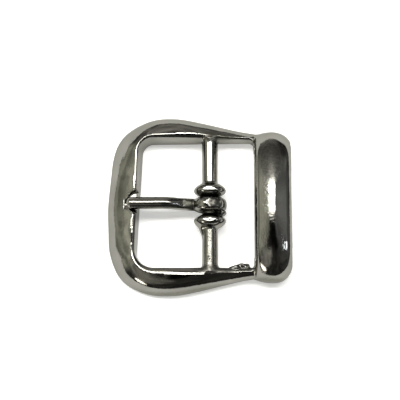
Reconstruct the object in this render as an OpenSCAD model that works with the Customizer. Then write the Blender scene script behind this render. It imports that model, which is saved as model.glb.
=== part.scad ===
// Centre-bar strap buckle: one cast frame with a keeper loop, and a loose tongue of wire.
// X runs from the nose to the keeper, Y along the bar, Z up out of the face of the buckle.
// The buckle is drawn about the middle of its flat back, then moved so that the origin is the middle
// of the bar, where the tongue turns and the strap is folded round.

/* [Window] */
// Clear width of the window along the bar, for a 25 mm strap
window_w = 26.6; // [26:0.1:27]
// From the middle of the buckle to the window's edge at the nose
window_nose = 12.45; // [12:0.05:12.8]
// From the middle of the buckle to the window's edge at the keeper
window_keeper = 11.6; // [11.4:0.05:11.8]
// Corner radius of the window at the nose
corner_nose = 2.3; // [1.5:0.1:3]
// Corner radius of the window beside the keeper
corner_keeper = 1.2; // [0.6:0.1:2]
// How far the window's edge at the nose leans off square, in degrees
window_lean = 3; // [0:0.5:4]

/* [Rim] */
// Share of the rim's height that is a straight wall on the window side
wall_share = 0.8; // [0.5:0.02:0.9]
// Draft of that wall, in degrees, which lets the casting leave its mould
wall_draft = 3.5; // [0:0.5:5]
// How far the outside of the nose leans off square, in degrees
nose_lean = 1.2; // [0:0.2:2]

/* [Bar] */
// Place of the bar along the buckle
bar_x = 2.4; // [1.5:0.1:3]
// Height of the bar's axis over the back, near half the rim's height
bar_z = 2.4; // [2.1:0.1:2.5]
// Radius of the bar where it leaves the rim
bar_r = 1.66; // [1.4:0.02:1.7]
// Radius of the bar at its waist and under the tongue
journal_r = 1.58; // [1.3:0.02:1.62]
// Radius of the two collars that keep the tongue in the middle
collar_r = 3.36; // [3:0.02:3.6]
// Thickness of a collar
collar_t = 2.3; // [1.6:0.1:2.4]
// Distance between the middles of the collars
collar_gap = 6.4; // [6.3:0.1:7]
// How far the pair of collars sits off the middle of the bar
collar_shift = -0.35; // [-0.4:0.05:0]

/* [Keeper] */
// Width of the keeper, measured along the strap
keeper_w = 7.8; // [6:0.1:9]
// Length of the keeper, measured along the bar
keeper_l = 32.4; // [31:0.1:34]
// Height of the keeper over the back of the buckle
keeper_h = 8.3; // [8.2:0.1:9]
// Rise of its rounded roof over its side walls
roof_rise = 2.3; // [2:0.05:2.35]
// Length over which its footprint rounds off at the ends, on the side away from the window
end_round = 4; // [3:0.1:5]
// The same length on the window side, where the rim runs into it
end_round_window = 1; // [0.6:0.1:2]
// How far the keeper sits off the middle of the bar
keeper_shift = -0.2; // [-0.3:0.05:0]
// Thickness of the bar across the back of the keeper
back_t = 1.3; // [1:0.05:1.4]
// Height of the slot's roof at its middle
slot_top = 5.8; // [5.6:0.05:5.85]

/* [Tongue] */
// Radius of the wire
wire_r = 1.27; // [1:0.01:1.3]
// Distance from the bar's axis to the tip
tongue_l = 17.15; // [16.8:0.05:17.3]
// Height of the wire's axis where it lies on the nose
tongue_z = 5.1; // [5:0.05:5.4]
// Outer radius of the curl round the bar
curl_r = 3.52; // [3.2:0.02:3.7]
// Width of the curl
curl_w = 2.8; // [2.4:0.1:2.9]
// Running clearance between the curl and the bar
bore_play = 0.05; // [0.02:0.01:0.09]
// Place along the buckle where the wire starts to bend down to the bar
knee_x = -7.6; // [-8:0.1:-7]
// Slope of the wire where it meets the curl, in degrees
knee_slope = 26; // [22:1:28]
// Gap left between the tongue and its bed in the nose
bed_play = 0.06; // [0.04:0.01:0.15]

/* [Hidden] */
$fn = 96;

// Columns of the rim table
ANGLE = 0;
REACH = 1;
HEIGHT = 2;
CREST = 3;
SWELL = 4;
// One row every 15 degrees, seen from the middle of the back, from the keeper's corner round to the
// nose: how far out the rim's outer edge lies, how high its crest stands, how far the crest is from
// the window, and the power of the outer slope's curve, where 2 is an oval and 1 is nearly straight.
rim_rows = [
    [45, 20.6, 2.5, 0.8, 1.9],
    [60, 18.3, 3.2, 1.0, 1.9],
    [75, 17.5, 4.1, 1.3, 1.8],
    [90, 18.0, 4.6, 1.55, 1.75],
    [105, 19.5, 4.9, 1.55, 1.75],
    [120, 21.25, 5.0, 1.35, 1.5],
    [135, 22.1, 5.0, 1.15, 1.2],
    [150, 21.05, 5.0, 1.05, 1.05],
    [165, 19.6, 5.0, 1.0, 1.0],
    [180, 19.2, 5.0, 0.95, 1.0],
];
row_step = rim_rows[1][ANGLE] - rim_rows[0][ANGLE];
last_row = len(rim_rows) - 1;

window_half = window_w / 2;
// The rim's swept part starts and ends inside the keeper's legs
rim_start = 44.5;
rim_stations = 80;
// The crest is never further in than this share of the rim's width
crest_limit = 0.35;
inner_steps = 4;
outer_steps = 7;

keeper_x = window_keeper + keeper_w / 2;
keeper_half = keeper_l / 2;
slot_half = 12.95;
slot_overrun = 1;
slot_roof_r = 60;
slot_corner = 2.5;
// Height of the centre of the slot's upper corners, so that they run on from its arched roof
slot_corner_z = slot_top - slot_corner
    - (slot_roof_r - sqrt(slot_roof_r * slot_roof_r - pow(slot_half - slot_corner, 2)));
// Power of the curve that the keeper's crest follows along its length
crest_power = 3;
// Radius of the ridge and steepness of the roof's slopes, as shares of the half width
ridge = 0.2;
roof_slope = 0.8;
keeper_stations = 44;
roof_steps = 12;

collar_mid = [collar_shift - collar_gap / 2, collar_shift + collar_gap / 2];
collar_round = collar_t / 2;
// Length of the cone that runs each collar down to the bar, lower collar first
cone_l = [2.5, 1.9];
// Where the cone starts: how far in from the collar's rim, and at what share of its half thickness
cone_inset = 0.35;
cone_from = 0.7;
// How far the cone's end stands out of the bar
cone_edge = 0.03;
bar_end = window_half + 0.6;

bore_r = journal_r + bore_play;
curl_round = 0.9;
// The pinched tail: its radius, its place beside and within the curl, and the part turn it makes
tail_r = 0.5;
tail_y = -curl_w / 2 - 0.4;
tail_inset = 0.1;
tail_start = -20;
tail_turn = 190;
seam_gap = 0.25;
seam_angle = 135;
// The flat on top of the curl: its depth, its length, and where it starts before the bar's axis
flat_depth = 0.12;
flat_l = 1.9;
flat_before = 0.6;
knee_r = 4;
// How far the shank stops short of the curl's bore
shank_short = 0.8;
wire_sides = 24;
tip_start = 10;
tip_steps = 5;
bend_steps = 6;
tip_x = bar_x - tongue_l;
bed_end = tip_x - 0.55;
bed_l = 5;
flare_r = wire_r + 0.15;
flare_angle = 20;
flare_l = 4.2;

// A value of the rim table past either end, so that the curve leaves the table smoothly
function row_value(i, column) =
    i < 0 ? 2 * rim_rows[0][column] - rim_rows[1][column]
    : i > last_row ? rim_rows[2 * last_row - i][column]
    : rim_rows[i][column];
// Smooth curve through four values, at share f between the middle two
function through(a, b, c, d, f) =
    b + 0.5 * f * (c - a + f * (2 * a - 5 * b + 4 * c - d + f * (3 * (b - c) + d - a)));
function rim_value(angle, column) =
    let (
        folded = angle <= 180 ? angle : 360 - angle,
        place = (folded - rim_rows[0][ANGLE]) / row_step,
        i = min(floor(place), last_row - 1)
    )
    through(
        row_value(i - 1, column), row_value(i, column),
        row_value(i + 1, column), row_value(i + 2, column), place - i
    );

// Distance from the origin to the edge of the round-cornered window in one direction
function window_reach(angle) =
    let (
        c = cos(angle),
        s = sin(angle),
        side = c < 0 ? window_nose : window_keeper,
        r = c < 0 ? corner_nose : corner_keeper,
        to_side = abs(c) < 0.001 ? 1000 : side / abs(c),
        to_limb = abs(s) < 0.001 ? 1000 : window_half / abs(s),
        t = min(to_side, to_limb),
        corner = [side - r, window_half - r],
        b = abs(c) * corner.x + abs(s) * corner.y
    )
    t * abs(c) > corner.x && t * abs(s) > corner.y
        ? b + sqrt(b * b - corner * corner + r * r)
        : t;

// Shears the nose's half of an outline, so that its upper end leans towards the bar
function leaned(p, lean) = [p.x + tan(lean) * p.y * max(0, -p.x) / window_nose, p.y];

// One section of the rim: up the window wall, over the crest and down the outer slope
function rim_section(angle) =
    let (
        direction = [cos(angle), sin(angle)],
        inner = leaned(window_reach(angle) * direction, window_lean),
        outer = leaned(rim_value(angle, REACH) * direction, nose_lean),
        width = norm(outer - inner),
        crest = min(rim_value(angle, CREST) / width, crest_limit),
        height = rim_value(angle, HEIGHT),
        wall = wall_share * height,
        draft = wall * tan(wall_draft) / width,
        swell = rim_value(angle, SWELL),
        across = concat(
            [[0, 0]],
            [for (i = [0 : inner_steps]) let (a = 90 * i / inner_steps)
                [draft + (crest - draft) * (1 - cos(a)), wall + (height - wall) * sin(a)]],
            [for (i = [1 : outer_steps]) let (a = 90 * i / outer_steps)
                [crest + (1 - crest) * pow(sin(a), 2 / swell), height * cos(a)]]
        )
    )
    [for (p = across) let (at = inner + (outer - inner) * p.x) [at.x, at.y, p.y]];

// Height of the keeper's roof across its width, from 0 at the edge to 1 at the ridge
function roof(s) = (1 - roof_slope * (sqrt(s * s + ridge * ridge) - ridge)) * sqrt(1 - pow(s, 6));
// Half width of the keeper's footprint at y, where its end rounds off over a given length
function keeper_reach(y, round_l) =
    let (past = max(0, abs(y) - (keeper_half - round_l)) / round_l)
    keeper_w / 2 * sqrt(1 - past * past);
// One section across the keeper at share s of its half length
function keeper_section(s) =
    let (
        y = keeper_half * s,
        near = keeper_x - keeper_reach(y, end_round_window),
        far = keeper_x + keeper_reach(y, end_round),
        rise = sqrt(1 - pow(abs(s), crest_power)),
        across = [for (i = [0 : roof_steps]) sin(90 * (2 * i / roof_steps - 1))]
    )
    concat(
        [[near, y, 0]],
        [for (t = across) [
            keeper_x + abs(t) * ((t < 0 ? near : far) - keeper_x), y,
            rise * (keeper_h - roof_rise + roof_rise * roof(t))
        ]],
        [[far, y, 0]]
    );

// Solid through a row of closed sections that all have the same number of points
module lofted(sections) {
    m = len(sections[0]);
    last = len(sections) - 1;
    polyhedron(
        points = [for (s = sections) each s],
        faces = concat(
            [[for (j = [0 : m - 1]) j]],
            [[for (j = [m - 1 : -1 : 0]) last * m + j]],
            [for (i = [0 : last - 1]) for (j = [0 : m - 1]) each [
                [i * m + j, (i + 1) * m + j, (i + 1) * m + (j + 1) % m],
                [i * m + j, (i + 1) * m + (j + 1) % m, i * m + (j + 1) % m]
            ]]
        )
    );
}

// One round section of the wire, about a point [x, z], square to an axis that slopes down by angle a
function wire_section(at, a, r) = [
    for (i = [0 : wire_sides - 1]) let (t = 360 * i / wire_sides)
        [at.x + r * sin(t) * sin(a), r * cos(t), at.y + r * sin(t) * cos(a)]
];

// Puts a shape drawn about the Z axis onto the bar's axis, with up turned to point along Y
module on_bar() {
    translate([bar_x, 0, bar_z]) rotate([-90, 0, 0]) children();
}

module rim() {
    turn = (360 - 2 * rim_start) / rim_stations;
    lofted([for (i = [0 : rim_stations]) rim_section(rim_start + turn * i)]);
}

module keeper() {
    translate([0, keeper_shift, 0])
        lofted([for (i = [0 : keeper_stations]) keeper_section(sin(174 * i / keeper_stations - 87))]);
}

// Room for the strap through the keeper, with a slightly arched roof and round upper corners
module strap_slot() {
    straight = slot_half - slot_corner;
    translate([window_keeper - slot_overrun, keeper_shift, 0])
        rotate([90, 0, 90])
            linear_extrude(keeper_w + 2 * slot_overrun)
                intersection() {
                    translate([0, slot_top - slot_roof_r]) circle(slot_roof_r);
                    translate([-slot_half, back_t]) square([2 * slot_half, slot_top]);
                    union() {
                        translate([-slot_half, 0]) square([2 * slot_half, slot_corner_z]);
                        translate([-straight, 0]) square([2 * straight, slot_top]);
                        for (side = [-1, 1])
                            translate([side * straight, slot_corner_z]) circle(slot_corner);
                    }
                }
}

// Bed for the wire across the nose, and the flare that opens it towards the window
module tongue_bed() {
    translate([bed_end, 0, tongue_z]) rotate([0, 90, 0]) cylinder(h = bed_l, r = wire_r + bed_play);
    translate([bed_end, 0, tongue_z + flare_r - wire_r])
        rotate([0, 90 - flare_angle, 0])
            cylinder(h = flare_l, r1 = flare_r, r2 = flare_r + flare_l * tan(flare_angle));
}

// Round bar with its two collars, turned about one axis
module bar() {
    on_bar() rotate_extrude() {
        polygon([
            [0, -bar_end], [bar_r, -bar_end], [journal_r, collar_mid[0]],
            [journal_r, collar_mid[1]], [bar_r, bar_end], [0, bar_end]
        ]);
        for (side = [0, 1]) {
            away = 2 * side - 1;
            translate([collar_r - collar_round, collar_mid[side]]) circle(collar_round);
            translate([0, collar_mid[side] - collar_round])
                square([collar_r - collar_round, collar_t]);
            polygon([
                [0, collar_mid[side]],
                [collar_r - cone_inset, collar_mid[side] + away * collar_round * cone_from],
                [journal_r + cone_edge, collar_mid[side] + away * cone_l[side]],
                [0, collar_mid[side] + away * cone_l[side]]
            ]);
        }
    }
}

module frame() {
    color([0.55, 0.55, 0.52]) translate([-bar_x, 0, -bar_z]) {
        difference() {
            union() {
                rim();
                keeper();
            }
            strap_slot();
            tongue_bed();
        }
        bar();
    }
}

// The wire's curl round the bar: a band with rounded edges, and its pinched tail beside it
module curl() {
    on_bar() {
        rotate_extrude() {
            translate([bore_r, -curl_w / 2]) square([curl_r - curl_round - bore_r, curl_w]);
            translate([bore_r, curl_round - curl_w / 2])
                square([curl_r - bore_r, curl_w - 2 * curl_round]);
            for (side = [-1, 1])
                translate([curl_r - curl_round, side * (curl_w / 2 - curl_round)]) circle(curl_round);
        }
        rotate([0, 0, tail_start]) rotate_extrude(angle = tail_turn)
            translate([curl_r - tail_r - tail_inset, tail_y]) circle(tail_r);
    }
}

// The wire from its round tip over the straight, round the bend and down into the curl
module shank() {
    run = knee_r * sin(knee_slope);
    drop = knee_r * (1 - cos(knee_slope));
    slope_l = (bar_x - knee_x - run) / cos(knee_slope) - bore_r - shank_short;
    lofted(concat(
        [for (i = [0 : tip_steps]) let (a = tip_start + (90 - tip_start) * i / tip_steps)
            wire_section([tip_x + wire_r * (1 - cos(a)), tongue_z], 0, wire_r * sin(a))],
        [for (i = [0 : bend_steps]) let (a = knee_slope * i / bend_steps)
            wire_section([knee_x + knee_r * sin(a), tongue_z - knee_r * (1 - cos(a))], a, wire_r)],
        [wire_section([
            knee_x + run + slope_l * cos(knee_slope),
            tongue_z - drop - slope_l * sin(knee_slope)
        ], knee_slope, wire_r)]
    ));
}

module tongue() {
    color([0.5, 0.5, 0.48]) translate([-bar_x, 0, -bar_z]) difference() {
        union() {
            curl();
            shank();
        }
        // The bore that turns on the bar
        on_bar() cylinder(h = 3 * curl_w, r = bore_r, center = true);
        // The seam where the curl's end meets the wire again, low on the nose side
        on_bar() rotate([0, 0, seam_angle]) translate([0, -seam_gap / 2, -curl_w])
            cube([curl_r + 1, seam_gap, 2 * curl_w]);
        // Flat that the closing tool left on top of the curl
        translate([bar_x - flat_before, -curl_w, bar_z + curl_r - flat_depth])
            cube([flat_l, 2 * curl_w, 1]);
    }
}

frame();
tongue();
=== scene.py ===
# %% [markdown]
# # A cast strap buckle with a wire tongue
# The real buckle is two pieces of metal. One is a casting: the rim, the bar across the window and the
# keeper that holds the strap's end are one piece of zinc. The other is a short wire, curled round the
# bar, that swings and drops into a bed in the nose. Both are plated in dark nickel and polished. Box
# modelling with a subdivision modifier is the usual way to such forms, but polished metal shows every
# fault of a surface. So the lesson builds both pieces from formulas, meshes them finely, and takes the
# direction that each point faces from the same formulas.

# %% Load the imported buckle
import math

import bpy
import numpy as np
from mathutils import Matrix, Vector


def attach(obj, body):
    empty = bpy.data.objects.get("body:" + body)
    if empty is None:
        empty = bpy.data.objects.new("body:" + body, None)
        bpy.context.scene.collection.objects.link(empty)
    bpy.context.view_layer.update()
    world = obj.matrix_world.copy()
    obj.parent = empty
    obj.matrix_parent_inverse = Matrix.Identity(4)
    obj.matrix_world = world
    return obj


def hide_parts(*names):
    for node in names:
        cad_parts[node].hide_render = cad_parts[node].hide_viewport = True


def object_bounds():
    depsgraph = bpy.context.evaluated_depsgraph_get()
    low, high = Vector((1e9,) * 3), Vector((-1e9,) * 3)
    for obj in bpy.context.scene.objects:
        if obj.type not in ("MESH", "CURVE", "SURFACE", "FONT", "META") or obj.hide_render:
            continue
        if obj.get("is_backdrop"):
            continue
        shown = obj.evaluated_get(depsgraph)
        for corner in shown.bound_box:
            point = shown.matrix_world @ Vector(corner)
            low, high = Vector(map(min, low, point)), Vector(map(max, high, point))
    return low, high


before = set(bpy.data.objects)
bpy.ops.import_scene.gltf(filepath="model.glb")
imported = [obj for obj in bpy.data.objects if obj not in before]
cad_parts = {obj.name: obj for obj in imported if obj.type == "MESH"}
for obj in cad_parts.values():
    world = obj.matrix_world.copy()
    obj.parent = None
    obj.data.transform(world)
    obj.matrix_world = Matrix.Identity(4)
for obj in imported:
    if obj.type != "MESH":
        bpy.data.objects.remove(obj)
cad_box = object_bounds()
print("CAD nodes:", sorted(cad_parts))
print("CAD box in mm:", [[round(v * 1000, 2) for v in corner] for corner in cad_box])

# %% [markdown]
# ## Where things are
# The drawing below is in millimetres, measured from the middle of the buckle's flat back: X from the
# nose to the keeper, Y along the bar from the lower limb to the upper one, Z up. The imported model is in
# metres, with its origin on the bar. Every number could be turned into metres by hand, but then none
# could be read off with a ruler, so one helper turns the drawing into the model.

# %% Drawing to model
MM = 0.001
BAR_X = 2.4
BAR_Z = 2.4


def to_model(points):
    """Points of the drawing, in millimetres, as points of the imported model, in metres."""
    return (np.asarray(points, float) - (BAR_X, 0.0, BAR_Z)) * MM


print("The bar's axis in the model:", to_model((BAR_X, 0, BAR_Z)))
print("The keeper's ridge in the model:", to_model((15.25, 0, 8.3)))

# %% [markdown]
# ## How the buckle lies
# Laid on a table it doesn't lie on its flat back, because the tongue's curl stands out below it. It
# rests on the curl and on the lower edge of the nose, and the keeper lifts a little. The buckle has to
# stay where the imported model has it, so the table is tilted instead. Its slope against the back follows
# from a tangent: from the nose's edge to the round curl.

# %% Work out the table's plane
NOSE_EDGE = -19.2
CURL_R = 3.52

to_bar = BAR_X - NOSE_EDGE
down_to_edge = math.atan2(BAR_Z, to_bar)
tangent = math.asin(CURL_R / math.hypot(to_bar, BAR_Z))
rest_tilt = tangent - down_to_edge
print("The keeper is raised by", round(math.degrees(rest_tilt), 2), "degrees")

edge = Vector(to_model((NOSE_EDGE, 0, 0)))
table_up = Vector((math.sin(rest_tilt), 0, math.cos(rest_tilt)))
table_east = Vector((math.cos(rest_tilt), 0, -math.sin(rest_tilt)))
middle_on_back = Vector(to_model((0, 0, 0)))
table_origin = middle_on_back - table_up * (middle_on_back - edge).dot(table_up)
table = Matrix((
    (table_east.x, 0, table_up.x, table_origin.x),
    (table_east.y, 1, table_up.y, table_origin.y),
    (table_east.z, 0, table_up.z, table_origin.z),
    (0, 0, 0, 1),
))
print("The table is", round(-table_origin.z / MM, 2), "mm below the bar's axis")

# %% [markdown]
# ## The camera
# The picture is taken from almost straight above, ten degrees towards the lower side of the picture,
# from about a hand's length and a half away. A camera could be aimed with a constraint, but a matrix
# keeps it exact: it is made in the table's own axes, aimed at a point on the table, and then carried
# over into the model's axes. The lens follows from how many pixels one millimetre covers.

# %% Camera
VIEW_TILT = math.radians(10)
VIEW_DISTANCE = 230
AIM_X, AIM_Y = 0.20, 1.60
PIXELS_PER_MM = 4.73
PICTURE = 400
SENSOR = 36.0

aim = Vector((AIM_X * MM, AIM_Y * MM, 0))
camera_data = bpy.data.cameras.new("photo_camera")
camera_data.sensor_width = SENSOR
camera_data.lens = SENSOR * PIXELS_PER_MM * VIEW_DISTANCE / PICTURE
camera_data.clip_start = 0.01
camera_data.clip_end = 10
camera = bpy.data.objects.new("photo_camera", camera_data)
bpy.context.scene.collection.objects.link(camera)
backward = Vector((0, -math.sin(VIEW_TILT), math.cos(VIEW_TILT)))
upward = Vector((0, math.cos(VIEW_TILT), math.sin(VIEW_TILT)))
place = aim + backward * (VIEW_DISTANCE * MM)
camera.matrix_world = table @ Matrix((
    (1, upward.x, backward.x, place.x),
    (0, upward.y, backward.y, place.y),
    (0, upward.z, backward.z, place.z),
    (0, 0, 0, 1),
))
bpy.context.scene.camera = camera
print("Lens", round(camera_data.lens, 1), "mm")
print("Camera at", [round(v, 4) for v in camera.matrix_world.translation])

# %% [markdown]
# ## A field instead of a mesh
# The casting has no hard corner inside it: bar, collars, rim and keeper flow into each other, because
# molten metal filled one mould. Joining four meshes leaves creases, and bevelling the creases is slow
# work. So the shape is written as a field: a formula that gives, for any point, about how far it is
# outside the metal, and a minus sign inside. Two shapes join by taking the smaller of their fields, and
# a small rounding in that choice gives the soft fillet of a casting.

# %% Soft choices between fields
def soft_min(a, b, fillet):
    """The smaller of two fields, with a fillet where they are nearly equal: joins two shapes."""
    near = np.maximum(fillet - np.abs(a - b), 0) / fillet
    return np.minimum(a, b) - near * near * fillet / 4


def soft_max(a, b, fillet):
    """The larger of two fields, with a rounded edge: trims one shape by another."""
    return -soft_min(-a, -b, fillet)


print("A 0.8 mm fillet adds", -soft_min(0.0, 0.0, 0.8), "mm of metal where two forms meet")


# %% The direction that a field's surface faces
def slope_of(field, points, reach=0.01):
    """How a field changes at each point along X, Y and Z, from one small step to either side."""
    slope = np.empty_like(points)
    for axis in range(3):
        step = np.zeros(3)
        step[axis] = reach
        slope[..., axis] = (field(points + step) - field(points - step)) / (2 * reach)
    return slope


def ball_field(p):
    return np.linalg.norm(p, axis=-1) - 1


print("The top of a ball faces", slope_of(ball_field, np.array([[0.0, 0.0, 1.0]])).round(3)[0])

# %% Waves for dents and ripples
WAVES = 7


def ripple(points, wavelength, seed):
    """Smooth unevenness between about -1 and 1: seeded waves that cross each other."""
    draw = np.random.default_rng(seed)
    total = np.zeros(points.shape[:-1])
    for _ in range(WAVES):
        direction = draw.normal(size=3)
        direction /= np.linalg.norm(direction)
        length = wavelength * draw.uniform(0.7, 1.5)
        total += np.sin(2 * np.pi * (points @ direction) / length + draw.uniform(0, 2 * np.pi))
    return total / (WAVES / 2)


ruler = np.linspace((0, 0, 0), (40, 0, 0), 400)
print("Along 40 mm a ripple runs from", ripple(ruler, 7.0, 3).min().round(2),
      "to", ripple(ruler, 7.0, 3).max().round(2))

# %% [markdown]
# ## The rim
# The rim runs round a window made for a 25 mm strap. Seen from above its outside swells at the nose's
# corners and narrows to the keeper. Cut across, it is a nearly upright wall beside the strap, a
# rounded crest close to that wall, and a long face that bulges and falls to the outside. A bevelled
# curve would have one cross-section all the way round, and this one changes everywhere. So a short
# table holds it, and a smooth curve runs through the rows.
#
# Each row is for one ANGLE in degrees, from a limb's end beside the keeper (45) to the middle of the
# nose (180), and serves both limbs. In millimetres it gives the REACH of the outside from the middle,
# the HEIGHT of the crest, how far the CREST is from the window, the SKEW that the upper limb adds to
# that and the lower one takes off, and the DROP of the rounded inner edge. FALL is the share of its
# height that the outer face loses in a straight line. SWELL is how full that face is: 1 falls away
# from the crest at once, 2 is an oval and 5 a full shoulder.

# %% The rim's table
ANGLE, REACH, HEIGHT, CREST, SKEW, DROP, FALL, SWELL = range(8)
ROW_STEP = 15
rim_rows = np.array([
    [45, 20.6, 2.5, 0.8, -0.05, 0.5, 0.45, 5.0],
    [60, 18.3, 3.2, 0.9, -0.05, 0.5, 0.45, 5.0],
    [75, 17.5, 4.1, 1.1, -0.05, 0.6, 0.42, 4.5],
    [90, 18.0, 4.6, 1.5, -0.05, 0.8, 0.25, 3.1],
    [105, 19.5, 4.9, 1.55, -0.05, 0.8, 0.12, 2.5],
    [120, 21.25, 5.0, 1.3, 0.0, 0.8, 0.2, 2.4],
    [135, 22.1, 5.0, 1.0, 0.1, 0.8, 0.38, 2.1],
    [150, 21.05, 5.0, 0.9, 0.15, 0.8, 0.45, 2.0],
    [165, 19.6, 5.0, 0.96, 0.03, 0.8, 0.0, 1.0],
    [180, 19.2, 5.0, 0.95, 0.0, 0.8, 0.0, 1.0],
])


def rim_value(angle, column):
    """A column of the rim's table at any angle, along a smooth curve through its rows."""
    rows = rim_rows[:, column]
    padded = np.concatenate([[2 * rows[0] - rows[1]], rows, [rows[-2], rows[-3]]])
    first, last = rim_rows[0, ANGLE], rim_rows[-1, ANGLE]
    place = (np.clip(angle, first - 5, last + 5) - first) / ROW_STEP
    i = np.clip(np.floor(place).astype(int), 0, len(rows) - 2)
    f = place - i
    a, b, c, d = padded[i], padded[i + 1], padded[i + 2], padded[i + 3]
    return b + 0.5 * f * (c - a + f * (2 * a - 5 * b + 4 * c - d + f * (3 * (b - c) + d - a)))


for name, angle in (("nose", 180), ("corner", 135), ("side", 90)):
    print(f"The rim's {name} reaches {rim_value(angle, REACH):.1f} mm and is "
          f"{rim_value(angle, HEIGHT):.1f} mm high")

# %% The window's edge
WINDOW_HALF = 13.3
WINDOW_NOSE = 12.45
WINDOW_KEEPER = 11.6
UPPER_CORNER_R = 2.3
LOWER_CORNER_R = 3.9
KEEPER_CORNER_R = 1.2
LEAN_INSIDE = math.tan(math.radians(3)) / WINDOW_NOSE
LEAN_OUTSIDE = math.tan(math.radians(1.2)) / WINDOW_NOSE


def straightened(x, y, lean):
    """Takes out the slight lean of the nose, so that its edges can be drawn square."""
    return np.where(x < 0, x / (1 - lean * y), x)


def from_window(x, y):
    """Distance out from the edge of the round-cornered window."""
    x = straightened(x, y, LEAN_INSIDE)
    side = np.where(x < 0, WINDOW_NOSE, WINDOW_KEEPER)
    nose_corner = np.where(y < 0, LOWER_CORNER_R, UPPER_CORNER_R)
    corner = np.where(x < 0, nose_corner, KEEPER_CORNER_R)
    along = np.abs(x) - (side - corner)
    across = np.abs(y) - (WINDOW_HALF - corner)
    outside = np.hypot(np.maximum(along, 0), np.maximum(across, 0))
    return outside + np.minimum(np.maximum(along, across), 0) - corner


print("The window is", round(WINDOW_NOSE + WINDOW_KEEPER, 2), "by", 2 * WINDOW_HALF, "mm")

# %% An oval with a straight fall
TINY = 1e-6
LEAST_STEEP = 0.02


def from_oval(across, up, half_width, half_height, power, fall=0.0):
    """Distance from a quarter of an oval, given as shares of its two half sizes. Its height can also
    fall in a straight line, by a share, towards its outer end."""
    across = np.maximum(across, TINY)
    left = 1 - fall * np.minimum(across, 1)
    up = up / left
    level = across ** power + up ** 2 - 1
    steepness = np.hypot(
        (power * across ** (power - 1) + 2 * up ** 2 * fall / left) / half_width,
        2 * up / (half_height * left),
    )
    return level / (steepness + LEAST_STEEP)


print("Half way up an oval's axis its field is", from_oval(0.0, 0.5, 4.0, 5.0, 2.0).round(2), "mm")

# %% The rim's outline, seen from above
LIMB_Y = 12
BULGE = 0.42
BULGE_ANGLE = 144
BULGE_SPREAD = 10
NARROWEST = 0.6


def rim_outline(x, y):
    """The angle of each point, how far it is inside the outer edge, and which limb it belongs to."""
    x = straightened(x, y, LEAN_OUTSIDE)
    angle = np.degrees(np.arctan2(np.abs(y), x))
    limb = np.clip(y / LIMB_Y, -1, 1)
    bulge = BULGE * np.maximum(limb, 0) * np.exp(-((angle - BULGE_ANGLE) / BULGE_SPREAD) ** 2)
    reach = rim_value(angle, REACH) + bulge
    turn = (rim_value(angle + 0.5, REACH) - rim_value(angle - 0.5, REACH)) / math.radians(1)
    outside = (reach - np.hypot(x, y)) / np.sqrt(1 + (turn / reach) ** 2)
    return angle, outside, limb


print("The nose's middle is", round(float(rim_outline(-16.0, 0.0)[1]), 2), "mm inside the outline")

# %% The rim's field
POLISH = 0.007
POLISH_WAVE = 1.5
WALL_DRAFT = 0.12
WALL_FULL = 2.2
CREST_LIMIT = 0.35
LIMB_END = 44.5


def rim_field(p):
    x, y, z = p[..., 0], p[..., 1], p[..., 2]
    inside = from_window(x, y)
    angle, outside, limb = rim_outline(x, y)
    height, drop = rim_value(angle, HEIGHT), rim_value(angle, DROP)
    width = np.maximum(inside + outside, NARROWEST)
    crest = rim_value(angle, CREST) + rim_value(angle, SKEW) * limb
    crest = np.minimum(crest, CREST_LIMIT * width)
    shoulder = crest - WALL_DRAFT * (0.5 + 0.5 * limb) * np.clip(z, 0, height)
    wall_side = from_oval(
        (crest - inside) / shoulder, np.maximum(z - height + drop, 0) / drop, shoulder, drop,
        WALL_FULL + 0.2 * limb,
    )
    slope_side = from_oval(
        (inside - crest) / (width - crest), np.maximum(z, 0) / height, width - crest, height,
        rim_value(angle, SWELL) * (1.08 - 0.08 * limb), rim_value(angle, FALL),
    )
    rim = np.where(inside < crest, wall_side, slope_side)
    # The polishing wheel ran along the rim, so its marks change slowly that way.
    lengthways = np.stack([inside, 0.06 * angle * np.sign(y), 0.4 * z], -1)
    rim = rim + POLISH * ripple(lengthways, POLISH_WAVE, 21)
    past_end = np.hypot(x, y) * np.sin(np.radians(np.clip(LIMB_END - angle, -60, 60)))
    return np.maximum(rim, past_end)


# %% Measure a field at a point
def report(what, field, point):
    """Prints how far outside a form its field says that a point of the drawing is."""
    print(what, round(float(field(np.array([point], float))[0]), 2), "mm")


report("1 mm above the nose's crest:", rim_field, (-13.4, 0, 6))
report("In the middle of the nose:", rim_field, (-15.5, 0, 2))


# %% [markdown]
# ## The keeper
# The keeper is a loop for the strap's end: a flat bar across the back, two legs, and a rounded roof
# that sinks to both ends. It could be a swept section with the ends closed by hand, but the roof's
# ridge is sharpest in the middle and fades to the ends, so each section is another one. Its field is
# the overlap of two simple forms, with a large rounding where they meet: a roof, whose height depends
# on how far a point is from the ridge and from the middle, and upright sides, whose outline seen from
# above has tight corners at the window and wide ones outside. The lower end reaches out a little more.

# %% The keeper's roof
KEEPER_W = 7.8
KEEPER_X = WINDOW_KEEPER + KEEPER_W / 2
KEEPER_HALF = 16.2
KEEPER_SHIFT = -0.2
KEEPER_H = 8.3
FLANK = 1.9
RIDGE = 0.165
RIDGE_X = -0.25
RIDGE_AT_END = 1.0
END_FROM = 8.0
END_ROUND = 3.8
LOWER_REACH = 0.6


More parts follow.
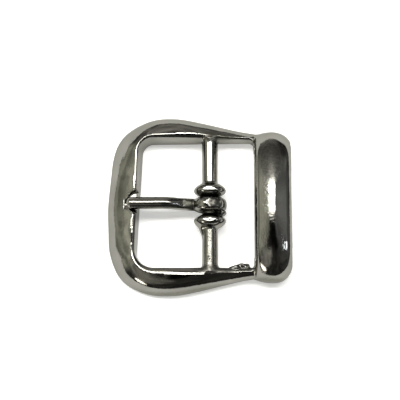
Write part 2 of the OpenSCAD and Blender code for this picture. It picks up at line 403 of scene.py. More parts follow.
def roof_field(x, y, z, lower):
    """The roof over a point: x from its middle line, y from its middle, lower 1 in its lower part."""
    share = (x - RIDGE_X) / (KEEPER_W / 2)
    blunt = RIDGE + RIDGE_AT_END * (y / KEEPER_HALF) ** 4
    ridge = np.sqrt(share ** 2 + blunt ** 2)
    height = KEEPER_H - FLANK * (ridge - blunt)
    up = z / height
    near_end = np.clip((y - END_FROM) / (KEEPER_HALF - END_FROM), 0, 1)
    arched = y + END_ROUND * share ** 2 * np.minimum(up, 1) * near_end ** 2 * (3 - 2 * near_end)
    to_end = (arched / (KEEPER_HALF + LOWER_REACH * lower)) ** 3
    level = up ** 2 + to_end - 1
    steepness = np.sqrt(
        (2 * up / height) ** 2
        + (2 * up ** 2 / height * FLANK * share / ridge / (KEEPER_W / 2)) ** 2
        + (3 * to_end / (arched + TINY)) ** 2
    )
    return level / (steepness + LEAST_STEEP)


print("The roof sinks", round(FLANK * (math.hypot(1, RIDGE) - RIDGE), 2), "mm from ridge to side")

# %% The keeper's sides and the whole keeper
WINDOW_SIDE_HALF = 5.0
WINDOW_SIDE_ROUND = 2.6
OUTER_ROUND = 4.0
ROOF_EDGE = 1.35


def keeper_field(p):
    x, y, z = p[..., 0] - KEEPER_X, np.abs(p[..., 1] - KEEPER_SHIFT), np.maximum(p[..., 2], 0)
    half_width = np.where(x < 0, WINDOW_SIDE_HALF, KEEPER_W / 2)
    rounding = np.where(x < 0, WINDOW_SIDE_ROUND, OUTER_ROUND)
    past = np.maximum(y - (KEEPER_HALF - rounding), 0) / rounding
    reach = np.hypot(x / half_width, past) + TINY
    lean = np.hypot(x / half_width ** 2, past / rounding) / reach
    sides = np.maximum((reach - 1) / (lean + 0.01), -x - KEEPER_W / 2)
    roof = roof_field(x, y, z, np.clip(-p[..., 1] / END_FROM, 0, 1))
    lengthways = np.stack([x, 0.1 * p[..., 1], 0.4 * z], -1)
    return soft_max(roof, sides, ROOF_EDGE) + 0.5 * POLISH * ripple(lengthways, 1.6, 22)


report("1 mm above the keeper's ridge:", keeper_field, (KEEPER_X + RIDGE_X, 0, KEEPER_H + 1))

# %% The strap's slot through the keeper
SLOT_HALF = 12.95
SLOT_TOP = 5.8
SLOT_FLOOR = 1.3
SLOT_ARCH = 60.0
SLOT_CORNER = 3.0
FLOOR_CORNER = 0.6


def slot_field(p):
    x, y, z = p[..., 0], p[..., 1] - KEEPER_SHIFT, p[..., 2]
    arch = np.hypot(y, z - (SLOT_TOP - SLOT_ARCH)) - SLOT_ARCH
    opening = soft_max(arch, np.abs(y) - SLOT_HALF, SLOT_CORNER)
    opening = soft_max(opening, SLOT_FLOOR - z, FLOOR_CORNER)
    return np.maximum(opening, WINDOW_KEEPER - 1 - x)


print("The slot is", 2 * SLOT_HALF, "mm wide and", SLOT_TOP - SLOT_FLOOR, "mm high")

# %% [markdown]
# ## The bar and its collars
# The bar carries the strap and the tongue. It thickens a little to both ends, and a low ridge along
# its upper side draws the light into a narrow streak. Two collars keep the tongue in the middle. Each
# is a bead, worn flat on top, and runs down to the bar in a soft funnel on the side away from the
# tongue. It could be turned from a profile, as on a lathe, but the wear and the ridge aren't round. A
# field takes the profile, from how far a point is from the axis and where it is along it, and adds the
# rest. The side of a bead that faces the tongue is steeper, so that the curl has room between the two.

# %% The bar
BAR_END_R = 1.66
JOURNAL_R = 1.58
TAPER_FROM = 3
BAR_PEAK = 0.3
PEAK_FROM = 2.4
PEAK_RUN = 1.2
BAR_SUNK = 0.6


def plain_bar_field(x, y, z):
    """The bar without collars: x, z from its axis and y along it."""
    out = np.hypot(x, z)
    swell = np.clip((np.abs(y) - TAPER_FROM) / (WINDOW_HALF - TAPER_FROM), 0, 1)
    upward = np.clip(z / (out + TINY), 0, 1)
    peak = BAR_PEAK * np.clip((np.abs(y) - PEAK_FROM) / PEAK_RUN, 0, 1) * upward ** 4
    bar = out - (JOURNAL_R + (BAR_END_R - JOURNAL_R) * swell) - peak
    return np.maximum(bar, np.abs(y) - WINDOW_HALF - BAR_SUNK)


print("The bar is", 2 * JOURNAL_R, "mm thick in the middle and", 2 * BAR_END_R, "mm at its ends")

# %% The collars
COLLAR_R = 3.36
COLLAR_CURVE = 0.64
CURVE_BY_HUB = 0.95
COLLAR_WEAR = 0.24
COLLAR_TILT = 0.035
WORN_EDGE = 0.08
CONE_STEP = 0.4
COLLAR_JOIN = 0.3
collars = [
    {"middle": -3.5, "away": -1, "funnel": 1.3, "west": 2.2},
    {"middle": 2.8, "away": 1, "funnel": 1.5, "west": 0.0},
]


def collar_field(x, y, z, collar):
    """A worn bead and the funnel beside it, which is longer towards the nose by its share west."""
    out = np.hypot(x, z)
    along = y - collar["middle"]
    away = along * collar["away"]
    curve = np.where(away < 0, CURVE_BY_HUB, COLLAR_CURVE)
    bead = out - COLLAR_R + curve * along ** 2
    bead = bead / np.sqrt(1 + (2 * curve * along) ** 2)
    worn = z - COLLAR_R + COLLAR_WEAR + COLLAR_TILT * along
    funnel = collar["funnel"] + collar["west"] * np.clip(-x / (out + TINY), 0, 1) ** 2
    run = np.clip(away / funnel, 0, 1)
    cone = out - (COLLAR_R - CONE_STEP) - (JOURNAL_R - COLLAR_R + CONE_STEP) * run
    cone = np.maximum(0.7 * np.maximum(cone, -away), away - funnel)
    return soft_min(soft_max(bead, worn, WORN_EDGE), cone, COLLAR_JOIN)


apart = collars[1]["middle"] - collars[0]["middle"]
print("The collars are", apart, "mm apart from middle to middle")


# %% The bar with its collars
def bar_field(p):
    x, y, z = p[..., 0] - BAR_X, p[..., 1], p[..., 2] - BAR_Z
    bar = plain_bar_field(x, y, z)
    for collar in collars:
        bar = soft_min(bar, collar_field(x, y, z, collar), COLLAR_JOIN)
    return bar


report("0.5 mm above the bar, 8 mm along:", bar_field, (BAR_X, 8, BAR_Z + JOURNAL_R + 0.5))

# %% [markdown]
# ## The tongue's bed, its burr and the flash
# Where the tongue lands, the nose has a bed: a channel for the wire and a wider dent round it. The
# metal that was pushed aside stands up as a rough burr along the dent's edge. On the lower limb, next
# to the keeper, a rag of flash was left where the mould's halves met. Such faults make a casting look
# real. A bump map would paint them, but it has no outline and throws no shadow, so they are shapes.

# %% The wire's channel
WIRE_R = 1.27
TONGUE_Z = 5.1
TIP_X = BAR_X - 17.15
BED_END = TIP_X - 0.55
BED_START = -10.0
BED_PLAY = 0.06


def channel_field(p):
    """The wire's own channel, from its closed end to just inside the window."""
    channel = np.hypot(p[..., 1], p[..., 2] - TONGUE_Z) - WIRE_R - BED_PLAY
    return np.maximum(channel, np.maximum(BED_END - p[..., 0], p[..., 0] - BED_START))


print("The channel is", 2 * (WIRE_R + BED_PLAY), "mm wide for", 2 * WIRE_R, "mm of wire")

# %% The dent and its burr
DENT = {"middle": (-12.2, 0.45, 5.7), "half": (3.1, 2.45, 2.3)}
LEDGE_Z = 4.3
LEDGE_CORNER = 0.15
BURR_R = 0.3
BURR_END = -14.4


def blob_field(p, middle, half):
    """A rounded lump with three half sizes."""
    q = (p - middle) / half
    size = np.linalg.norm(q, axis=-1)
    steepness = np.linalg.norm(q / half, axis=-1)
    return (size - 1) * size / (steepness + TINY)


def dent_field(p):
    """The wide, shallow part of the bed, with a flat ledge beside the tongue."""
    hollow = blob_field(p, DENT["middle"], DENT["half"])
    return soft_max(hollow, LEDGE_Z - p[..., 2], LEDGE_CORNER)


def burr_field(metal, dent, p):
    """A burr that follows the edge where the dent meets the metal, thick and thin by turns."""
    burr = np.hypot(metal, dent) - BURR_R * (0.75 + 0.75 * ripple(p, 1.4, 31))
    return np.maximum(burr, BURR_END - p[..., 0])


report("In the dent, beside the wire:", dent_field, (-12.2, 1.8, 5.0))

# %% The flash
FLASH_JOIN = 0.3
flash = [
    {"middle": (7.5, -13.2, 2.7), "half": (1.1, 0.45, 0.5)},
    {"middle": (8.7, -12.85, 2.5), "half": (0.9, 0.5, 0.35)},
    {"middle": (9.9, -13.0, 2.2), "half": (1.0, 0.65, 0.5)},
]


def with_flash(metal, p):
    """The metal with the rough lumps of flash grown onto it."""
    for lump in flash:
        lump_field = blob_field(p, lump["middle"], lump["half"]) + 0.1 * ripple(p, 1.3, 33)
        metal = soft_min(metal, lump_field, FLASH_JOIN)
    return metal


print("The flash is", len(flash), "lumps")

# %% [markdown]
# ## The whole casting
# Molten metal filled one mould, so every form of the casting runs into the next. Boolean modifiers
# would join them with creases. Here the fields are joined one after another: the rim gets its flash
# and the keeper, the back is cut flat, the slot is taken away, then the bed, with its burr left round
# it, and the bar comes last with the largest fillet. Two ripples, about a hundredth of a millimetre
# high and less, bend the reflections as hand polishing does.

# %% The casting's field
KEEPER_JOIN = 0.45
BACK_EDGE = 0.35
SLOT_EDGE = 0.35
BURR_JOIN = 0.15
BED_EDGE = 0.12
BAR_JOIN = 0.8
CHANNEL_JOIN = 0.1
KEEPER_FROM = 9.5
FAR_OFF = 4.0
HAND_POLISH = ((0.012, 7.0, 3), (0.003, 2.2, 5))  # height, wavelength and seed of each ripple


def casting_field(p):
    metal = with_flash(rim_field(p), p)
    # The keeper's field is only worked out near the keeper; elsewhere it counts as far off.
    near_keeper = p[..., 0] > KEEPER_FROM
    keeper = np.full(metal.shape, FAR_OFF)
    keeper[near_keeper] = keeper_field(p[near_keeper])
    metal = soft_min(metal, keeper, KEEPER_JOIN)
    metal = soft_max(metal, -p[..., 2], BACK_EDGE)
    metal = soft_max(metal, -slot_field(p), SLOT_EDGE)
    dent = dent_field(p)
    metal = soft_min(metal, burr_field(metal, dent, p), BURR_JOIN)
    metal = soft_max(metal, -soft_min(channel_field(p), dent, CHANNEL_JOIN), BED_EDGE)
    metal = soft_min(metal, bar_field(p), BAR_JOIN)
    for height, wavelength, seed in HAND_POLISH:
        metal = metal + height * ripple(p, wavelength, seed)
    return metal


report("In the middle of the window:", casting_field, (-5, 6, 2))
report("In the metal of the nose:", casting_field, (-16, 5, 2))


# %% [markdown]
# ## From a field to a skin
# To turn a field into a mesh, space is cut into small cubes. Every cube that the surface passes through
# gets one point, and every cube edge that it crosses gets one four-sided face between the four points
# round it. This is called surface nets. Marching cubes would do as well, but its thin triangles show
# in a mirror finish. The points are then evened out and pulled exactly onto the surface, and each gets
# the field's own direction as its normal, which is what keeps the reflections smooth.

# %% Find the cubes that the surface passes through
LAYERS = 16


def corner_values(field, low, counts, step):
    """The field at every corner of the grid, a few layers at a time to spare memory."""
    values = np.empty(counts, np.float64)
    y = low[1] + step * np.arange(counts[1])
    z = low[2] + step * np.arange(counts[2])
    for start in range(0, counts[0], LAYERS):
        x = low[0] + step * np.arange(start, min(start + LAYERS, counts[0]))
        values[start:start + LAYERS] = field(np.stack(np.meshgrid(x, y, z, indexing="ij"), -1))
    return values


CORNERS = [(i, j, k) for i in (0, 1) for j in (0, 1) for k in (0, 1)]
EDGES = [(a, b) for a in range(8) for b in range(a + 1, 8)
         if sum(abs(p - q) for p, q in zip(CORNERS[a], CORNERS[b])) == 1]


def crossing_points(values, cells, low, step):
    """For each cube, the middle of the places where the surface crosses its edges."""
    at = np.array([values[tuple((cells + c).T)] for c in CORNERS])
    total = np.zeros((len(cells), 3))
    count = np.zeros(len(cells))
    for a, b in EDGES:
        crossed = (at[a] < 0) != (at[b] < 0)
        share = at[a] / np.where(crossed, at[a] - at[b], 1)
        spot = np.array(CORNERS[a]) + share[:, None] * (np.array(CORNERS[b]) - CORNERS[a])
        total[crossed] += spot[crossed]
        count[crossed] += 1
    return low + step * (cells + total / count[:, None])


print("A cube has", len(CORNERS), "corners and", len(EDGES), "edges")


# %% Join the points with four-sided faces
def net_faces(inside, number):
    """One face for every grid edge whose two ends differ, turned to look out of the metal."""
    faces = []
    for axis in range(3):
        u, v = (axis + 1) % 3, (axis + 2) % 3
        first = np.moveaxis(inside, (axis, u, v), (0, 1, 2))
        cell = np.moveaxis(number, (axis, u, v), (0, 1, 2))
        crossed = first[:-1, 1:-1, 1:-1] != first[1:, 1:-1, 1:-1]
        i, j, k = np.nonzero(crossed)
        face = np.stack([cell[i, j, k], cell[i, j + 1, k], cell[i, j + 1, k + 1], cell[i, j, k + 1]], 1)
        outward = first[i, j + 1, k + 1]
        faces.append(np.where(outward[:, None], face, face[:, ::-1]))
    return np.concatenate(faces)


one_corner = np.zeros((4, 4, 4), bool)
one_corner[1, 1, 1] = True
print("One corner inside gives", len(net_faces(one_corner, np.zeros((3, 3, 3), int))), "faces")

# %% Even the points out and pull them onto the surface
PULLS = 3
GENTLEST = 0.04


def pulled(field, points, longest):
    """Moves points straight to the surface of the field, and never further than one grid step."""
    for _ in range(PULLS):
        slope = slope_of(field, points)
        steepness = np.maximum((slope ** 2).sum(-1), GENTLEST)
        move = slope * (field(points) / steepness)[:, None]
        size = np.linalg.norm(move, axis=-1, keepdims=True)
        points = points - move * np.minimum(1, longest / (size + TINY))
    return points


def evened(points, faces):
    """Each point at the middle of the points that it shares an edge with."""
    total = np.zeros_like(points)
    count = np.zeros(len(points))
    for a, b in ((0, 1), (1, 2), (2, 3), (3, 0)):
        for here, there in ((faces[:, a], faces[:, b]), (faces[:, b], faces[:, a])):
            for axis in range(3):
                total[:, axis] += np.bincount(here, points[there, axis], len(points))
            count += np.bincount(here, minlength=len(points))
    return total / count[:, None]


print("Pulled onto a ball:", pulled(ball_field, np.array([[0.7, 0.7, 0.7]]), 0.5).round(3)[0])


# %% Skin a field and make it a Blender object
def skin(name, field, low, high, step, rounds):
    """A closed mesh of four-sided faces over a field, with the field's own directions as normals."""
    low = np.array(low, float)
    counts = tuple(int(math.ceil((b - a) / step)) + 1 for a, b in zip(low, high))
    values = corner_values(field, low, counts, step)
    inside = values < 0
    touched = sum(inside[i:counts[0] - 1 + i, j:counts[1] - 1 + j, k:counts[2] - 1 + k].astype(int)
                  for i, j, k in CORNERS)
    cells = np.argwhere((touched > 0) & (touched < 8))
    number = np.full(touched.shape, -1)
    number[tuple(cells.T)] = np.arange(len(cells))
    points = crossing_points(values, cells, low, step)
    faces = net_faces(inside, number)
    for _ in range(rounds):
        points = pulled(field, 0.5 * points + 0.5 * evened(points, faces), step)
    normals = slope_of(field, points)
    normals /= np.linalg.norm(normals, axis=-1, keepdims=True)
    mesh = bpy.data.meshes.new(name)
    mesh.from_pydata(to_model(points).tolist(), [], faces.tolist())
    mesh.polygons.foreach_set("use_smooth", np.ones(len(faces), bool))
    mesh.normals_split_custom_set_from_vertices(normals.tolist())
    mesh.update()
    piece = bpy.data.objects.new(name, mesh)
    bpy.context.scene.collection.objects.link(piece)
    print(name, len(points), "points,", len(faces), "faces")
    return piece


casting = skin("casting", casting_field, (-20.2, -19.6, -0.7), (20.0, 19.6, 8.9), step=0.25, rounds=3)

# %% [markdown]
# ## The tongue
# The tongue starts as round wire. It lies straight over the nose, bends down towards the bar, and is
# rolled round it between the collars. Rolling squeezed the wire, so the curl is wider and flatter than
# the wire, and the closing tool left a flat on top and a pinched tail at one side. A curve with a
# round bevel gives such a wire at once, but neither the flats nor the crowned curl. So it is a field
# as well: a helper first tells how far along the bent wire a point is, and how far above its middle.

# %% The wire from its tip to the curl
KNEE_X = -7.6
KNEE_R = 4.0
KNEE_SLOPE = math.radians(26)
KNEE_CENTRE_Z = TONGUE_Z - KNEE_R


def wire_place(x, z):
    """How far a point is along the bent wire's centre line, and how far above it."""
    dx, dz = x - KNEE_X, z - KNEE_CENTRE_Z
    turned = np.arctan2(dx, dz)
    bend_along = KNEE_R * turned
    bend_over = np.hypot(dx, dz) - KNEE_R
    c, s = math.cos(KNEE_SLOPE), math.sin(KNEE_SLOPE)
    end_x, end_z = KNEE_X + KNEE_R * s, KNEE_CENTRE_Z + KNEE_R * c
    down_along = KNEE_R * KNEE_SLOPE + (x - end_x) * c - (z - end_z) * s
    down_over = (x - end_x) * s + (z - end_z) * c
    along = np.where(turned < 0, dx, np.where(turned > KNEE_SLOPE, down_along, bend_along))
    over = np.where(turned < 0, z - TONGUE_Z, np.where(turned > KNEE_SLOPE, down_over, bend_over))
    return along, over


print("From tip to knee the wire is", round(KNEE_X - TIP_X, 2), "mm long")

# %% The shank, with its blunt tip and a flat near the curl
TIP_ROUND = 0.9
DOWN_LENGTH = 6.6
NECK = {"x": -2.4, "slope": 0.13, "deep": 0.16, "fade": 0.4, "half": 0.7}
FLAT_EDGE = 0.1
HAMMER_MARKS = 0.03


def wire_field(p):
    x, y, z = p[..., 0], p[..., 1], p[..., 2]
    along, over = wire_place(x, z)
    cap = np.maximum(TIP_X - KNEE_X + TIP_ROUND - along, 0) * WIRE_R / TIP_ROUND
    shank = np.sqrt(over ** 2 + y ** 2 + cap ** 2) - WIRE_R
    from_neck = x - NECK["x"]
    flat = over - NECK["slope"] * from_neck - (WIRE_R - NECK["deep"])
    flat = flat - NECK["fade"] * np.maximum(np.abs(from_neck) - NECK["half"], 0)
    shank = soft_max(shank, flat + HAMMER_MARKS * ripple(p, 0.9, 42), FLAT_EDGE)
    return np.maximum(shank, along - (KNEE_R * KNEE_SLOPE + DOWN_LENGTH))


report("On the middle line of the wire:", wire_field, (-10, 0, TONGUE_Z))


# %% The curl round the bar
BORE_R = 1.63
CURL_HALF = 1.5
CURL_Y = -0.1
CURL_CORNER = 0.85
CURL_CROWN = 0.17


def band_field(x, y, z):
    """The squeezed band of the curl: a ring with rounded corners, highest in its middle."""
    crowned = np.hypot(x, z) + CURL_CROWN * y ** 2
    across = np.abs(crowned - (BORE_R + CURL_R) / 2) - ((CURL_R - BORE_R) / 2 - CURL_CORNER)
    beside = np.abs(y) - (CURL_HALF - CURL_CORNER)
    band = np.hypot(np.maximum(across, 0), np.maximum(beside, 0)) - CURL_CORNER
    return band + np.minimum(np.maximum(across, beside), 0)


print("The curl's wall is", round(CURL_R - BORE_R, 2), "mm thick and",
      round(BORE_R - JOURNAL_R, 2), "mm clear of the bar")

# %% The wire's pinched end beside the curl
TAIL = {"turn_r": 2.95, "y": -1.75, "half": 0.5, "from": -25, "to": 110}  # from and to in degrees
TAIL_JOIN = 0.25


def curl_field(p):
    x, y, z = p[..., 0] - BAR_X, p[..., 1] - CURL_Y, p[..., 2] - BAR_Z
    turned = np.degrees(np.arctan2(-z, x))
    turned = np.where(turned < -90, turned + 360, turned)
    nearest = np.radians(np.clip(turned, TAIL["from"], TAIL["to"]))
    dx, dz = x - TAIL["turn_r"] * np.cos(nearest), z + TAIL["turn_r"] * np.sin(nearest)
    tail = np.sqrt(dx ** 2 + dz ** 2 + (y - TAIL["y"]) ** 2) - TAIL["half"]
    return soft_min(band_field(x, y, z), tail, TAIL_JOIN)


report("In the middle of the bore:", curl_field, (BAR_X, CURL_Y, BAR_Z))

# %% The whole tongue
CURL_JOIN = 0.3
BORE_EDGE = 0.15
HAMMERED = {"x": 0.65, "half": 0.9, "deep": 0.17, "fade": 0.5}
WIRE_POLISH = 0.012


def tongue_field(p):
    x, z = p[..., 0] - BAR_X, p[..., 2] - BAR_Z
    metal = soft_min(wire_field(p), curl_field(p), CURL_JOIN)
    metal = soft_max(metal, BORE_R - np.hypot(x, z), BORE_EDGE)
    beside = np.maximum(np.abs(x - HAMMERED["x"]) - HAMMERED["half"], 0)
    flat = z - (CURL_R - HAMMERED["deep"]) - HAMMERED["fade"] * beside
    metal = soft_max(metal, flat + HAMMER_MARKS * ripple(p, 1.0, 41), FLAT_EDGE)
    return metal + WIRE_POLISH * ripple(p, 3.0, 11)


wire = skin("wire_tongue", tongue_field, (-15.4, -2.8, -1.6), (6.5, 2.0, 6.9), step=0.16, rounds=3)

# %% [markdown]
# ## Dark nickel
# The finish is nickel plate over a black nickel strike: a dark mirror with a slight olive cast that
# gives back about a quarter of the light. Principled BSDF with full metal does that. An even mirror
# would look like glass, so one noise clouds the colour and another the roughness, and a shallow bump
# carries the grain of the plate, deeper on the keeper's ridge and on the hub. A picture of wear could
# be wrapped round the pieces, but that needs an unwrapped mesh. Patches placed in space don't: each is
# an oval cloud, broken up by noise. Most sit where dust and grime gather or the plate is rubbed. Some
# are painted shade: a darker colour in the grooves beside the hub and under the tongue's neck, where
# the buckle shades itself, and along the lower foot and the keeper's lower end, which mirror the
# shaded card.

# %% Wiring helpers
def new_node(tree, kind, inputs, gives=0, operation=None):
    """A new node, each input another node's output or a plain value. Gives one of its outputs."""
    node = tree.nodes.new("ShaderNode" + kind)
    if operation:
        node.operation = operation
    for socket, value in inputs.items():
        if isinstance(value, bpy.types.NodeSocket):
            tree.links.new(value, node.inputs[socket])
        else:
            node.inputs[socket].default_value = value
    return node.outputs[gives]


def cloud(tree, place, scale, detail, low, high, at_low=0.35, at_high=0.7):
    """A noise whose middle part is stretched to run from low to high."""
    noise = new_node(tree, "TexNoise", {"Vector": place, "Scale": scale, "Detail": detail}, "Fac")
    ends = {"From Min": at_low, "From Max": at_high, "To Min": low, "To Max": high}
    return new_node(tree, "MapRange", {"Value": noise, **ends}, "Result")


print("Helpers ready:", new_node.__name__, "and", cloud.__name__)

# %% A patch of wear, dust, grime and painted shade
PATCH_EDGE = 1.2
PATCH_CORE = 0.75
MOTTLE_SCALE = 2200


def patch_mask(tree, place, patch):
    """A mask that is full in the middle of a patch, fades to its edge and is broken up by noise, which
    leaves a share of it in the gaps."""
    away = new_node(tree, "VectorMath", {0: place, 1: to_model(patch["middle"])}, 0, "SUBTRACT")
    per_metre = [1 / (half * MM) for half in patch["half"]]
    shares = new_node(tree, "VectorMath", {0: away, 1: per_metre}, 0, "MULTIPLY")
    size = new_node(tree, "VectorMath", {0: shares}, "Value", "LENGTH")
    ends = {"From Min": PATCH_EDGE, "From Max": PATCH_CORE, "To Max": patch["amount"]}
    fade = new_node(tree, "MapRange", {"Value": size, **ends}, "Result")
    broken = cloud(tree, place, MOTTLE_SCALE, 4, patch["gaps"], 1, 0.38, 0.58)
    return new_node(tree, "Math", {0: fade, 1: broken}, 0, "MULTIPLY")


print("A patch fades out between", PATCH_CORE, "and", PATCH_EDGE, "of its half size")

# %% Plate, polish and grain
PLATE_LOW = (0.20, 0.197, 0.18)
PLATE_HIGH = (0.25, 0.246, 0.225)
EDGE_TINT = (0.6, 0.6, 0.58)
CLOUD_SCALE = 160
POLISH_SCALE = 420
GRAIN_SCALE = 2400
SMOOTHEST, ROUGHEST = 0.045, 0.12
GRAIN_DEPTH = 0.00006
GRAIN_SHARE = 0.2
print("At full strength the grain is", round(GRAIN_DEPTH / MM, 3), "mm deep")
print("The plate gives back", PLATE_LOW[0], "to", PLATE_HIGH[0], "of red light")


# %% The nickel material
def nickel(name, seed, patches, grainy):
    """Dark nickel plate with its patches of wear, dust and painted shade, and a grain that is deeper in
    one patch.
    """
    material = bpy.data.materials.new(name)
    material.use_nodes = True
    tree = material.node_tree
    place = tree.nodes.new("ShaderNodeTexCoord").outputs["Object"]
    shift = {"Vector": place, "Location": (seed, seed * 0.7, -seed)}
    shifted = new_node(tree, "Mapping", shift)
    cloudy = cloud(tree, shifted, CLOUD_SCALE, 4, 0, 1)
    plate = {"Color1": (*PLATE_LOW, 1), "Color2": (*PLATE_HIGH, 1)}
    colour = new_node(tree, "MixRGB", {"Fac": cloudy, **plate})
    rough = cloud(tree, shifted, POLISH_SCALE, 5, SMOOTHEST, ROUGHEST)
    for patch in patches:
        mask = patch_mask(tree, place, patch)
        # Each patch mixes in its own colour. The mix is named worn, but some patches are painted shade: a
        # darker colour in the grooves, under the neck and along the lower foot.
        worn = {"Fac": mask, "Color1": colour, "Color2": (*patch["colour"], 1)}
        colour = new_node(tree, "MixRGB", worn)
        rougher = {"Value": mask, "To Min": rough, "To Max": patch["rough"]}
        rough = new_node(tree, "MapRange", rougher, "Result")
    grain = new_node(tree, "TexNoise", {"Vector": shifted, "Scale": GRAIN_SCALE, "Detail": 3}, "Fac")
    deeper = {0: patch_mask(tree, place, grainy), 1: GRAIN_SHARE}
    strength = new_node(tree, "Math", deeper, 0, "ADD")
    bump = {"Height": grain, "Strength": strength, "Distance": GRAIN_DEPTH}
    shader = tree.nodes["Principled BSDF"]
    shader.inputs["Metallic"].default_value = 1.0
    shader.inputs["Specular Tint"].default_value = (*EDGE_TINT, 1)
    tree.links.new(colour, shader.inputs["Base Color"])
    tree.links.new(rough, shader.inputs["Roughness"])
    tree.links.new(new_node(tree, "Bump", bump), shader.inputs["Normal"])
    print(name, "has", len(patches), "worn patches and", len(tree.nodes), "nodes")
    return material


# %% Worn and dusty places on the casting, and painted shade in its grooves and along its lower foot
DUSTY = (0.18, 0.175, 0.15)
# The dark dusty tone and the grimy tone serve for real dust and grime, and also as painted shade in the
# grooves, under the tongue's neck and along the lower foot.
DARK_DUST_AND_SHADE = (0.1, 0.098, 0.08)
WORN = (0.07, 0.068, 0.06)
DULL = (0.05, 0.049, 0.043)
GRIME_AND_SHADE = (0.035, 0.034, 0.03)
PATCH = ("middle", "half", "amount", "rough", "colour", "gaps")


def patch_list(*rows):
    """Rows of numbers as patches with named parts."""
    return [dict(zip(PATCH, row)) for row in rows]


casting_patches = patch_list(
    ((15.0, 8.6, 7.4), (2.6, 5.2, 2.5), 1.0, 0.42, DULL, 0.8),  # the keeper's upper end
    ((-9.3, -14.9, 5.0), (3.6, 2.0, 1.6), 0.6, 0.38, DUSTY, 0.5),  # the lower nose corner
    ((2.4, -8.5, 4.0), (1.8, 5.0, 1.4), 0.7, 0.3, DUSTY, 0.25),  # the bar's lower half
    ((-13.2, 1.5, 4.8), (2.0, 1.8, 1.5), 0.7, 0.4, DUSTY, 0.25),  # the dent
    # Painted shade: these two patches give a dark, rough colour to the grooves between the hub and the
    # collars, where the buckle shades itself.
    ((2.4, -2.0, 3.0), (2.8, 0.5, 2.4), 0.8, 0.3, DARK_DUST_AND_SHADE, 0.25),  # the groove below the hub
    ((2.4, 1.7, 3.0), (2.8, 0.4, 3.0), 0.8, 0.3, DARK_DUST_AND_SHADE, 0.25),  # the groove above the hub
    ((8.7, -13.0, 2.4), (3.0, 1.0, 1.2), 0.9, 0.4, GRIME_AND_SHADE, 0.25),  # the flash
    ((5.0, 14.2, 4.0), (4.5, 1.2, 1.5), 0.9, 0.4, DARK_DUST_AND_SHADE, 0.7),  # the upper limb's crest
    ((4.2, -13.6, 4.2), (5.0, 1.1, 1.5), 1.0, 0.45, WORN, 0.7),  # the lower limb's crest
    # Painted shade: these two patches darken the lower limb's foot and the keeper's lower end, whose steep
    # faces mirror the shaded card beside them.
    ((-1.0, -18.6, 0.8), (13.0, 2.6, 2.2), 0.75, 0.2, DARK_DUST_AND_SHADE, 0.6),  # the lower limb's foot
    ((14.5, -16.6, 2.0), (4.0, 1.5, 3.0), 0.75, 0.2, DARK_DUST_AND_SHADE, 0.6),  # the keeper's lower end
)
ridge_grain = {"middle": (14.2, -2.5, 7.9), "half": (1.7, 8.0, 2.5), "amount": 0.45, "gaps": 0.3}
casting.data.materials.append(nickel("dark_nickel_casting", 3.1, casting_patches, ridge_grain))

# %% Worn places on the wire, and painted shade under its neck and in the groove by its pinched end
wire_patches = patch_list(
    ((-13.4, 0.0, 6.3), (2.6, 0.8, 1.2), 0.75, 0.3, DUSTY, 0.5),  # the tip
    ((-8.5, 0.0, 6.2), (4.5, 0.6, 1.2), 0.45, 0.3, DUSTY, 0.0),  # the shank's top
    ((3.4, 0.0, 5.8), (1.3, 1.2, 1.0), 1.0, 0.45, GRIME_AND_SHADE, 0.75),  # the hub's flat
    ((-2.2, 0.0, 4.0), (1.5, 1.1, 1.8), 1.0, 0.42, DARK_DUST_AND_SHADE, 0.85),  # the neck
    # Painted shade: these two patches give a dark, rough colour under the neck and in the groove by the
    # pinched end, where the shank and the collars shade the curl.
    ((-0.9, -0.5, 1.6), (2.0, 2.2, 2.2), 1.0, 0.5, GRIME_AND_SHADE, 0.9),  # under the neck
    ((2.4, -1.7, 2.4), (4.0, 0.6, 3.4), 0.9, 0.5, GRIME_AND_SHADE, 0.25),  # the pinched end
)
hub_grain = {"middle": (0.0, 0.0, 5.0), "half": (5.0, 2.0, 2.0), "amount": 0.4, "gaps": 0.6}
wire.data.materials.append(nickel("dark_nickel_wire", 7.7, wire_patches, hub_grain))

# %% [markdown]
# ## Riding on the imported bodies
# On the real buckle the tongue swings on the bar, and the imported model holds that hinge. The swing could
# be animated here, but then it could differ from the model's. So each piece rides on the body that it
# belongs to and takes the place of the plain solid there, and it moves as the model moves.

# %% Let the new pieces stand for the CAD nodes
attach(casting, "frame")
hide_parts("frame")
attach(wire, "tongue")
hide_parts("tongue")
print("Riding:", casting.name, "on frame,", wire.name, "on tongue")

# %% [markdown]
# ## The table
# The buckle lies on plain white card. A ground that only catches shadows would do for the picture, but
# not for the reflections: the walls of the window mirror the card. The card glows a little of its own,
# so that it is white right up to the metal and the shadows stay pale. It is only the stage.

# %% The white table
TABLE_HALF = 1.5
CARD_WHITE = (0.9, 0.9, 0.89, 1)
CARD_GLOW = (1.0, 1.0, 0.98, 1)

corners = [(x * TABLE_HALF, y * TABLE_HALF, 0) for x, y in ((-1, -1), (1, -1), (1, 1), (-1, 1))]
table_mesh = bpy.data.meshes.new("white_table")
table_mesh.from_pydata([tuple(table @ Vector(corner)) for corner in corners], [], [(0, 1, 2, 3)])
table_top = bpy.data.objects.new("white_table", table_mesh)
bpy.context.scene.collection.objects.link(table_top)
card = bpy.data.materials.new("white_card")
card.use_nodes = True
card_shader = card.node_tree.nodes["Principled BSDF"]
card_shader.inputs["Base Color"].default_value = CARD_WHITE
card_shader.inputs["Roughness"].default_value = 0.8
card_shader.inputs["Specular IOR Level"].default_value = 0.2
card_shader.inputs["Emission Color"].default_value = CARD_GLOW
card_shader.inputs["Emission Strength"].default_value = 0.4
table_mesh.materials.append(card)
table_top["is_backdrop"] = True
print("The card is", 2 * TABLE_HALF, "metres square")

